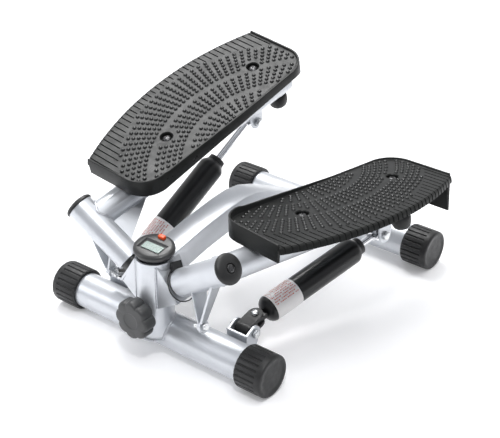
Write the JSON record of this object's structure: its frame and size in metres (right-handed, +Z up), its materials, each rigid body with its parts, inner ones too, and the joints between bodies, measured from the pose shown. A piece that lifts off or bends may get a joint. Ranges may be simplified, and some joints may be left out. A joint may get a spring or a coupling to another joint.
{
  "type": "mini stepper",
  "caption": "Low step exerciser: paired pedals on inclined swivel sleeves, coupled by a cable over a pulley and damped by hydraulic cylinders.",
  "frame": {"origin": "floor level under the centre of the bounding box, with the right pedal down and the left pedal up", "axes": "+X to the right of a person standing on the pedals facing the display, which is at -Y; +Z up"},
  "size_m": [0.4236, 0.4903, 0.3185],
  "materials": {
    "silver_paint": "light silver metallic coat, slightly orange-peeled",
    "black_rubber": "matte moulded",
    "pedal_plastic": "fine-textured dark grey moulding",
    "cylinder_black": "gloss black coat",
    "chrome": "polished",
    "zinc_steel": "bright zinc plate",
    "label_white": null,
    "lcd_glass": "pale green-grey display",
    "orange_button": "moulded",
    "housing_grey": "satin moulded",
    "knob_plastic": "satin moulded",
    "wire_black": "smooth jacket",
    "steel_cable": "stranded",
    "nylon": "moulded"
  },
  "bodies": {
    "frame": {"front_base_tube": "silver_paint", "rear_base_tube": "silver_paint", "foot_cap_front_left": "black_rubber", "foot_cap_front_right": "black_rubber", "foot_cap_rear_left": "black_rubber", "foot_cap_rear_right": "black_rubber", "front_column": "silver_paint", "left_pivot_bracket": "silver_paint", "right_pivot_bracket": "silver_paint", "main_beam": "silver_paint", "monitor_housing": "housing_grey", "monitor_display": "lcd_glass", "step_sensor": "nylon", "sensor_lead": "wire_black", "adjuster_nut": "zinc_steel", "left_axle": "zinc_steel", "right_axle": "zinc_steel", "left_cylinder_bracket": "silver_paint", "right_cylinder_bracket": "silver_paint", "left_foot_bolt": "zinc_steel", "right_foot_bolt": "zinc_steel", "step_cable": "steel_cable"},
    "knob": {"adjust_knob": "knob_plastic", "adjuster_screw": "zinc_steel"},
    "yoke": {"pulley_yoke": "zinc_steel", "pulley_pin": "zinc_steel"},
    "pulley": {"cable_pulley": "nylon"},
    "reset_button": {"monitor_button": "orange_button"},
    "right_arm": {"right_arm": "silver_paint", "right_inner_bush": "nylon", "right_sleeve_cap": "black_rubber", "right_cap_screw": "zinc_steel", "right_cable_bolt": "zinc_steel", "right_rod_pin": "zinc_steel", "right_bumper": "black_rubber", "right_pedal": "pedal_plastic", "right_pedal_bolt_front": "zinc_steel", "right_pedal_bolt_rear": "zinc_steel"},
    "right_clevis": {"right_clevis": "black_rubber", "right_clevis_bolt": "zinc_steel"},
    "right_barrel": {"right_barrel": "cylinder_black", "right_label": "label_white", "right_gland": "black_rubber"},
    "right_rod": {"right_piston_rod": "chrome"},
    "left_arm": {"left_arm": "silver_paint", "left_inner_bush": "nylon", "left_sleeve_cap": "black_rubber", "left_cap_screw": "zinc_steel", "left_cable_bolt": "zinc_steel", "left_rod_pin": "zinc_steel", "left_bumper": "black_rubber", "left_pedal": "pedal_plastic", "left_pedal_bolt_front": "zinc_steel", "left_pedal_bolt_rear": "zinc_steel"},
    "left_clevis": {"left_clevis": "black_rubber", "left_clevis_bolt": "zinc_steel"},
    "left_barrel": {"left_barrel": "cylinder_black", "left_label": "label_white", "left_gland": "black_rubber"},
    "left_rod": {"left_piston_rod": "chrome"}
  },
  "joints": [
    {"name": "right_arm", "type": "hinge", "parent": "frame", "child": "right_arm", "pos_m": [-0.00813, -0.18835, 0.1031], "axis": [0.8242, -0.0786, 0.5608], "range_deg": [0, 24.17], "deforming": ["step_cable"]},
    {"name": "left_arm", "type": "hinge", "parent": "frame", "child": "left_arm", "pos_m": [-0.04154, -0.18835, 0.1031], "axis": [-0.8242, -0.0786, 0.5608], "range_deg": [0, 24.17]},
    {"name": "right_cylinder_tilt", "type": "hinge", "parent": "frame", "child": "right_clevis", "pos_m": [0.08217, -0.13815, 0.047], "axis": [1, 0, 0], "range_deg": [0, 20.51]},
    {"name": "right_cylinder_yaw", "type": "hinge", "parent": "right_clevis", "child": "right_barrel", "pos_m": [0.08217, -0.11473, 0.05226], "axis": [0, -0.2192, 0.9757], "range_deg": [0, 17.23]},
    {"name": "right_rod_slide", "type": "slide", "parent": "right_barrel", "child": "right_rod", "axis": [0.2053, 0.9549, 0.2145], "range_m": [0, 0.0444]},
    {"name": "left_cylinder_tilt", "type": "hinge", "parent": "frame", "child": "left_clevis", "pos_m": [-0.13184, -0.13815, 0.047], "axis": [1, 0, 0], "range_deg": [-20.51, 0]},
    {"name": "left_cylinder_yaw", "type": "hinge", "parent": "left_clevis", "child": "left_barrel", "pos_m": [-0.13184, -0.11806, 0.06012], "axis": [0, -0.5469, 0.8372], "range_deg": [0, 17.23]},
    {"name": "left_rod_slide", "type": "slide", "parent": "left_barrel", "child": "left_rod", "axis": [0.0936, 0.8335, 0.5445], "range_m": [-0.0444, 0]},
    {"name": "knob_turn", "type": "hinge", "parent": "frame", "child": "knob", "pos_m": [-0.02483, -0.24515, 0.071], "axis": [0, 1, 0], "range_deg": [-360, 360]},
    {"name": "yoke_slide", "type": "slide", "parent": "frame", "child": "yoke", "axis": [0, -1, 0], "range_m": [-0.0016, 0.0016]},
    {"name": "pulley_turn", "type": "hinge", "parent": "yoke", "child": "pulley", "pos_m": [-0.02483, -0.11915, 0.071], "axis": [0, 0, 1], "range_deg": [0, 50.85]},
    {"name": "reset_press", "type": "slide", "parent": "frame", "child": "reset_button", "axis": [0, 0.1736, -0.9848], "range_m": [0, 0.0015], "stiffness_N_per_m": 300}
  ],
  "couplings": [
    {"joint": "left_arm", "follows": "right_arm", "ratio": 1},
    {"joint": "right_cylinder_tilt", "follows": "right_arm", "ratio": 0.84783},
    {"joint": "right_cylinder_yaw", "follows": "right_arm", "ratio": 0.71242},
    {"joint": "right_rod_slide", "follows": "right_arm", "m_per_rad": 0.1052},
    {"joint": "left_cylinder_tilt", "follows": "right_arm", "ratio": -0.84783},
    {"joint": "left_cylinder_yaw", "follows": "right_arm", "ratio": 0.71242},
    {"joint": "left_rod_slide", "follows": "right_arm", "m_per_rad": -0.1052},
    {"joint": "yoke_slide", "follows": "knob_turn", "m_per_rad": 0.00023873},
    {"joint": "pulley_turn", "follows": "right_arm", "ratio": 2.1032}
  ]
}
